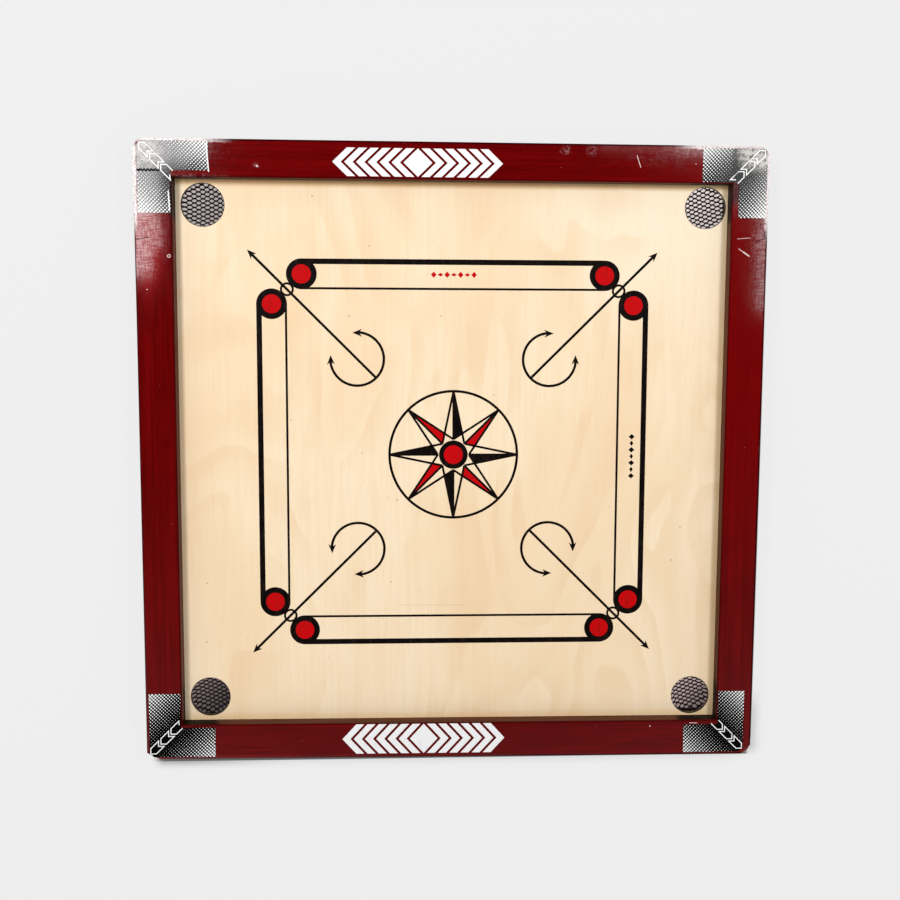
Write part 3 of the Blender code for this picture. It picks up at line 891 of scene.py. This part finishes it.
def draw_chevrons(pen, corner):
    """Three outlined arrows along the diagonal that point to the outer corner."""
    shift = CHEVRON_SHIFT[corner]
    for number in range(3):
        tip = CHEVRON_TIP + number * CHEVRON_PITCH
        shoulder, tail, notch = tip + CHEVRON_HALF, tip + CHEVRON_HALF + CHEVRON_BODY, tip + CHEVRON_BODY
        last = number == 2
        upper, lower, closing = CHEVRON_ENDS[corner] if last else (0, 0, 0)
        outline = [(tail + upper, CHEVRON_HALF), (shoulder, CHEVRON_HALF), (tip, 0)]
        outline += [(shoulder, -CHEVRON_HALF), (tail + lower, -CHEVRON_HALF)]
        if not last:
            outline.append((notch, 0))
        elif closing > 0:
            outline.insert(0, (notch, 0))
        elif closing < 0:
            outline.append((notch + CUT_STROKE[0], CUT_STROKE[1]))
        points = [((u + v + shift) * DIAGONAL, (u - v - shift) * DIAGONAL) for u, v in outline]
        pen.stroke(points, CHEVRON_LINE, closed=not last)


def make_sticker(corner, film_finish, white_finish):
    node = "corner_sticker_" + corner
    low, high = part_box(node)
    hands = CORNERS[corner]
    corner_point = [high[i] if hand > 0 else low[i] for i, hand in enumerate(hands)]
    reach = ((high.x - low.x) / MM, (high.y - low.y) / MM)
    width = sticker_widths(node)
    # Plan coordinates run inwards from the outer corner, so the matrix mirrors them into place.
    place = Matrix.Translation((*corner_point, 0)) @ Matrix.Diagonal((-hands[0], -hands[1], 1, 1))
    film = Print("sticker_film_" + corner, "sticker_film", film_finish, low.z, place)
    film.low, film.top = low.z, high.z - INK_STEP * MM
    film.polygon([
        (FILM_CUT, 0), (reach[0], 0), (reach[0], width[1]), (width[0], width[1]),
        (width[0], reach[1]), (0, reach[1]), (0, FILM_CUT),
    ])
    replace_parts(film.done(), node)
    white = Print("sticker_print_" + corner, "white_paint", white_finish, high.z, place)
    draw_dots(white, corner, reach, width)
    draw_chevrons(white, corner)
    white.done()


# On the back left sticker, in mm: a tear through one arm, and slips of white paper that show past the film
TEAR = ((-325.9, -302.7), 297.7, 0.8, 1.9)  # X range, Y, half height and length of a tooth
TEAR_WIDTH = 1.7
PAPER_SLIPS = [[(-255.0, 325.0), (-252.9, 296.5)], [(-294.4, 277.0), (-293.3, 257.0)]]
SLIP_WIDTH = 1.1


def make_sticker_damage(black_finish, white_finish):
    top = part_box("corner_sticker_back_left")[1].z
    (start, end), height, half, tooth = TEAR
    count = int((end - start) / tooth)
    points = [(start + i * tooth, height + half * (-1) ** i) for i in range(count)] + [(end, height)]
    tear = Print("sticker_tear", "black_ink", black_finish, top + INK_RISE * MM)
    tear.stroke(points, TEAR_WIDTH)
    tear.done()
    slips = Print("sticker_paper", "white_paint", white_finish, top)
    for slip in PAPER_SLIPS:
        slips.stroke(slip, SLIP_WIDTH)
    slips.done()


def sticker_widths(node):
    """Widths of the film's two arms in mm, read from the CAD piece's inner corner."""
    points = [(abs(v.co.x), abs(v.co.y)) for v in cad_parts[node].data.vertices]
    widths = []
    for axis in (0, 1):
        other_end = min(point[1 - axis] for point in points)
        inner = min(point[axis] for point in points if abs(point[1 - axis] - other_end) < TOUCHING)
        widths.append((max(point[axis] for point in points) - inner) / MM)
    return widths


# Pocket nets, in mm
NET_PITCH = (9.1, 4.6)  # between openings in a row, and between rows in a column
NET_OPENING = (4.7, 2.75)
OPENING_POWER = 1.9  # 2 would make the openings ellipses; less gives them corners
NET_CORD = 0.95
CORD_SECTION = ((1, 0.0), (0.7, 0.7), (0, 1.0), (-0.7, 0.7), (-1, 0.0))  # level, share of the way inwards
NET_TURNS = each_corner(0.0, 8.0, 5.0, 10.0)  # degrees
NET_DROP = 8.3  # at the pouch's middle
POUCH_WALL = 2.6  # from the pouch's floor out to the rim
POUCH_FLOOR = 1.2  # height of the CAD net's lowest part, which is read as its floor
POUCH_POWER = 6
EDGE_STEPS = 3


def pouch_shape(node, square_centre):
    """Where a pocket's pouch is and how wide it is inside, from the CAD net below its rim."""
    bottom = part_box(node)[0].z
    deep = [v.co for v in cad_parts[node].data.vertices if v.co.z < bottom + POUCH_FLOOR * MM]
    low = Vector((min(p.x for p in deep), min(p.y for p in deep)))
    high = Vector((max(p.x for p in deep), max(p.y for p in deep)))
    offset = ((low + high) / 2 - square_centre) / MM
    return offset, (high.x - low.x) / 2 / MM


def net_cell():
    """A hexagon with points left and right, and the rounded opening inside it, point for point."""
    across, down = NET_PITCH
    long_x, short_x = across / 3, across / 6
    hexagon = [
        (long_x, 0), (short_x, down / 2), (-short_x, down / 2),
        (-long_x, 0), (-short_x, -down / 2), (short_x, -down / 2),
    ]
    edge, opening = [], []
    for start, end in zip(hexagon, hexagon[1:] + hexagon[:1]):
        for step in range(EDGE_STEPS):
            edge.append(tuple(s + (e - s) * step / EDGE_STEPS for s, e in zip(start, end)))
    for x, y in edge:
        angle = math.atan2(y / NET_OPENING[1], x / NET_OPENING[0])
        reach = abs(math.cos(angle)) ** OPENING_POWER + abs(math.sin(angle)) ** OPENING_POWER
        size = reach ** (-1 / OPENING_POWER) / 2
        opening.append((NET_OPENING[0] * size * math.cos(angle), NET_OPENING[1] * size * math.sin(angle)))
    return edge, opening


def make_net(corner, finish):
    """Knitted netting: each opening has a rim of round cord that it shares with its neighbours."""
    node = "net_" + corner
    low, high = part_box(node)
    centre = (low + high).xy / 2
    half = (high.x - low.x) / 2 / MM
    offset, floor_radius = pouch_shape(node, centre)
    wall = floor_radius + POUCH_WALL
    turn = Matrix.Rotation(math.radians(NET_TURNS[corner]), 2)
    bm = bmesh.new()
    verts = {}

    def drop(place):
        """How far the netting hangs below the panel, in mm."""
        radius = (place - offset).length
        return NET_DROP * (1 - (radius / wall) ** POUCH_POWER) if radius < wall else 0.0

    def vertex(x, y, level):
        """A shared point of the netting; level runs from -1 to 1 through the cord's thickness."""
        moved = turn @ Vector((x, y))
        moved = Vector([max(-half, min(half, value)) for value in moved])
        key = (round(moved.x, 2), round(moved.y, 2), level)
        if key not in verts:
            height = high.z - (drop(moved) + (1 - level) * NET_CORD / 2) * MM
            verts[key] = bm.verts.new((centre.x + moved.x * MM, centre.y + moved.y * MM, height))
        return verts[key]

    def cell(cx, cy):
        """Rings of points from the hexagon's top over the cord and back below, with faces between them."""
        rings = []
        for level, share in CORD_SECTION:
            ring = [Vector(outer).lerp(Vector(inner), share) for outer, inner in zip(edge, opening)]
            rings.append([vertex(cx + x, cy + y, level) for x, y in ring])
        for first, second in zip(rings, rings[1:]):
            for a in range(len(first)):
                b = (a + 1) % len(first)
                around = list(dict.fromkeys((first[a], first[b], second[b], second[a])))
                if len(around) > 2 and not bm.faces.get(around):
                    bm.faces.new(around)

    across, down = NET_PITCH
    edge, opening = net_cell()
    # Cells enough to cover the square at any turn
    columns, rows = int(half * 3 / across), int(half * 3 / down)
    for i in range(-columns, columns):
        for j in range(-rows, rows):
            for shift in (0, 0.5):
                cx, cy = (i + shift) * across, (j + shift) * down
                middle = turn @ Vector((cx, cy))
                if max(abs(middle.x), abs(middle.y)) <= half:
                    cell(cx, cy)
    bmesh.ops.bridge_loops(bm, edges=[e for e in bm.edges if e.is_boundary])
    bmesh.ops.recalc_face_normals(bm, faces=bm.faces)
    mesh = bpy.data.meshes.new(node + "_mesh")
    bm.to_mesh(mesh)
    bm.free()
    mesh.shade_smooth()
    piece = show("netting_" + corner, mesh, finish)
    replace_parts(piece, node)


# Stage
FLOOR_REACH = 30.0
FLOOR_BASE = 0.07
FLOOR_GLOW = 0.79
WORLD_PALE = 0.725
WORLD_DARK = 0.02
WORLD_TURN = 12  # degrees about X
WORLD_FADE = (0.45, 0.95)  # heights on the sky, from the horizon's 0 to 1 overhead
SOFTBOX_HEIGHT = 1.9
# Each softbox is several level panels, so that its brightness falls off by steps: X and Y ranges, brightness
SOFTBOXES = {
    "softbox_left": [
        ((-1.25, -0.762), (0.355, 1.10), 7.2),
        ((-1.25, -0.768), (0.295, 1.10), 6.8),
        ((-1.25, -0.780), (0.235, 1.10), 7.4),
        ((-0.762, -0.732), (0.310, 0.405), 6.0),
        ((-0.762, -0.645), (0.552, 1.00), 7.4),
        ((-0.762, -0.685), (0.528, 1.00), 5.0),
    ],
    "softbox_right": [
        ((0.900, 1.35), (0.150, 1.20), 4.2),
        ((0.910, 1.35), (0.235, 1.20), 4.2),
        ((0.920, 1.35), (0.290, 1.20), 4.2),
        ((0.828, 1.12), (0.545, 0.98), 2.0),
        ((0.765, 0.910), (0.430, 0.580), 0.9),
        ((0.690, 1.20), (0.584, 0.92), 5.0),
        ((0.630, 1.20), (0.585, 0.92), 2.8),
        ((0.450, 1.20), (0.590, 0.92), 1.0),
    ],
}
# Brightness of the paper as it shows through each pocket's netting
POCKET_SHADE = each_corner(0.48, 0.70, 0.145, 0.31)
POCKET_PLACE = 0.273  # from the board's middle, both ways
POCKET_TINTS = ((1.0, 0.77, 0.73, 1), (1.0, 0.87, 0.85, 1))  # front, back
# In mm, how much paper beyond each side the rails hide from the camera
HIDDEN_FRONT, HIDDEN_RIGHT, HIDDEN_LEFT = 15.0, 11.0, 9.3

# Camera
CAMERA_PLACE = (-0.0270, 0.1636, 1.1531)
CAMERA_TILT = (5.611, 2.531, -0.422)  # degrees about X, Y and Z
CAMERA_SENSOR, CAMERA_LENS = 36, 42.4  # mm
CAMERA_SHIFT = (-0.0286, -0.0470)
CAMERA_NEAREST = 0.01


def paper_beneath(f, x, y, back):
    """The paper's glow as the pockets show it: one brightness for each, brighter to its back left."""
    rows = []
    for end in ("back", "front"):
        left, right = (POCKET_SHADE[end + "_" + hand] for hand in ("left", "right"))
        rows.append(f.band(x, -0.1, 0.1, left, right))
    beneath = f.calc("ADD", f.times(rows[0], back), f.times(rows[1], f.without(back)))
    from_x, from_y = (
        f.calc("SUBTRACT", v, f.band(v, -0.1, 0.1, -POCKET_PLACE, POCKET_PLACE)) for v in (x, y)
    )
    lean = f.band(f.calc("SUBTRACT", from_y, from_x), -0.034, 0.034, -1.0, 1.0)
    share = f.calc("MULTIPLY_ADD", back, -0.35, 0.5)
    return f.times(beneath, f.calc("MULTIPLY_ADD", lean, share, 1.0))


def paper_around(f, x, y):
    """The paper's glow round the board: a narrow soft shadow at the front and a dark line under the edge."""
    ahead = f.calc("SUBTRACT", f.times(y, -1.0), HALF_SIDE + HIDDEN_FRONT * MM)
    right = f.calc("SUBTRACT", x, HALF_SIDE + HIDDEN_RIGHT * MM)
    left = f.calc("SUBTRACT", f.times(x, -1.0), HALF_SIDE + HIDDEN_LEFT * MM)
    aside = f.calc("MAXIMUM", left, right)
    # The soft shadow is strongest towards the front left corner and runs a little way up the right side.
    soft_front = f.calc("POWER", f.band(ahead, 0.016, 0.0), 2.0)
    soft_front = f.times(soft_front, f.band(aside, 0.006, -0.02), f.band(x, -0.3, -0.17, 0.55, 0.12))
    soft_right = f.calc("POWER", f.band(right, 0.018, 0.0), 2.0)
    soft_right = f.times(soft_right, f.band(y, -0.265, -0.3), f.band(ahead, 0.006, -0.01), 0.3)
    # The line narrows to the right.
    line_width = f.band(x, -0.3, 0.25, 0.0022, 0.0010)
    line_front = f.band(f.calc("SUBTRACT", ahead, line_width), 0.0004, -0.0004)
    line_front = f.times(line_front, f.band(aside, 0.0, -0.006))
    line_right = f.times(f.band(right, 0.0014, 0.0004), f.band(f.size(y), 0.335, 0.325))
    line = f.times(f.calc("MAXIMUM", line_front, line_right), 0.88)
    beyond = f.times(f.band(y, 0.2, 0.0), f.band(x, -0.335, -0.32))
    shadow = f.times(strongest(f, [soft_front, soft_right, line]), beyond)
    return f.times(f.without(shadow), FLOOR_GLOW)


def make_floor():
    """White paper that also carries the even light of a white studio, painted dark as shade under the board.
    """
    mesh = bpy.data.meshes.new("floor")
    corners = [(hand_x * FLOOR_REACH, hand_y * FLOOR_REACH, 0) for hand_x, hand_y in CORNERS.values()]
    mesh.from_pydata(corners, [], [(0, 2, 3, 1)])
    floor = bpy.data.objects.new("floor", mesh)
    bpy.context.scene.collection.objects.link(floor)
    f = Finish("floor", Roughness=0.9, Specular_IOR_Level=0.0)
    x, y, _ = f.axes()
    covered = f.by_edge(f.calc("MAXIMUM", f.size(x), f.size(y)), HALF_SIDE, 12, 20)
    back = f.band(y, -0.1, 0.1)
    dark, pale, white = (0.03, 0.03, 0.03, 1), (FLOOR_BASE, FLOOR_BASE, FLOOR_BASE, 1), (1, 1, 1, 1)
    # Painted shade: under the board the paper is dark, and glows only as the pockets show it.
    f.link("Base Color", f.mix(covered, pale, dark))
    f.link("Emission Color", f.mix(covered, white, f.mix(back, *POCKET_TINTS)))
    beneath = f.times(covered, paper_beneath(f, x, y, back))
    around = f.times(f.without(covered), paper_around(f, x, y))
    f.link("Emission Strength", f.calc("ADD", beneath, around))
    floor.data.materials.append(f.material)


def add_panel_light(name, across, along, brightness):
    """A level rectangle of light over the given ranges of X and Y."""
    data = bpy.data.lights.new(name, "AREA")
    data.shape = "RECTANGLE"
    data.size, data.size_y = across[1] - across[0], along[1] - along[0]
    data.energy = math.pi * brightness * data.size * data.size_y
    light = bpy.data.objects.new(name, data)
    light.location = (sum(across) / 2, sum(along) / 2, SOFTBOX_HEIGHT)
    bpy.context.scene.collection.objects.link(light)


def make_lights():
    """Two softboxes behind the board, in a studio that is dark overhead and pale all round."""
    for name, panels in SOFTBOXES.items():
        for number, panel in enumerate(panels):
            add_panel_light(name + "_" + str(number), *panel)
    world = bpy.data.worlds.new("studio")
    world.use_nodes = True
    tree = world.node_tree
    place = add_node(tree, "ShaderNodeTexCoord").outputs["Generated"]
    turn = {"Vector": place, "Rotation": (math.radians(WORLD_TURN), 0, 0)}
    turned = add_node(tree, "ShaderNodeMapping", turn).outputs["Vector"]
    height = add_node(tree, "ShaderNodeSeparateXYZ", {0: turned}).outputs[2]
    fade = {0: height, 1: WORLD_FADE[0], 2: WORLD_FADE[1], 3: WORLD_PALE, 4: WORLD_DARK}
    strength = add_node(tree, "ShaderNodeMapRange", fade, interpolation_type="SMOOTHSTEP").outputs[0]
    background = tree.nodes["Background"]
    tree.links.new(strength, background.inputs["Strength"])
    background.inputs["Color"].default_value = (1, 1, 1, 1)
    bpy.context.scene.world = world
    bpy.context.scene.view_settings.view_transform = "Standard"


def make_camera():
    """Above the board and a little towards its back, with a slight tilt."""
    data = bpy.data.cameras.new("camera")
    data.sensor_width = CAMERA_SENSOR
    data.lens = CAMERA_LENS
    data.shift_x, data.shift_y = CAMERA_SHIFT
    data.clip_start = CAMERA_NEAREST
    tilt = Matrix.Identity(3)
    for degrees, axis in zip(CAMERA_TILT, "XYZ"):
        tilt = tilt @ Matrix.Rotation(math.radians(degrees), 3, axis)
    camera = bpy.data.objects.new("camera", data)
    camera.matrix_world = Matrix.Translation(CAMERA_PLACE) @ tilt.transposed().to_4x4()
    bpy.context.scene.collection.objects.link(camera)
    bpy.context.scene.camera = camera


CRISP_ANGLE = 34  # degrees


def smooth(obj):
    """Smooth shading over a CAD piece's rounded edges, with its real edges kept crisp."""
    normals = obj.data.attributes.get("custom_normal")
    if normals:
        obj.data.attributes.remove(normals)
    obj.data.shade_smooth()
    obj.modifiers.new("weld", "WELD").merge_threshold = MM / 1000
    obj.modifiers.new("crisp_edges", "EDGE_SPLIT").split_angle = math.radians(CRISP_ANGLE)
    obj.modifiers.new("flat_faces", "WEIGHTED_NORMAL").keep_sharp = True


def dress_cad():
    """Finishes for the CAD pieces that stay: all but the nets and stickers."""
    paint_x, paint_y = rail_paint("x"), rail_paint("y")
    ply, wood, steel = birch_ply(), batten_wood(), nail_steel()
    finishes = {
        ("rail_back", "rail_front"): paint_x,
        ("rail_left", "rail_right"): paint_y,
        ("playing_panel",): ply,
        ("batten_x", "batten_y"): wood,
        ("corner_nail", "batten_nail", "lap_nail", "tack"): steel,
    }
    for name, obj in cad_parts.items():
        for starts, finish in finishes.items():
            if name.startswith(starts):
                give(obj, finish)
                smooth(obj)


def main():
    make_floor()
    make_lights()
    make_camera()
    dress_cad()
    black = ink("black_ink", linear(11, 7, 6), linear(32, 22, 17))
    red = ink("red_ink", linear(198, 8, 13), linear(166, 14, 15))
    make_print(black, red)
    make_rail_ornaments(white_paint())
    film, white, cord = sticker_film(), sticker_white(), net_cord()
    for corner in CORNERS:
        make_sticker(corner, film, white)
        make_net(corner, cord)
    make_sticker_damage(black, white)


main()
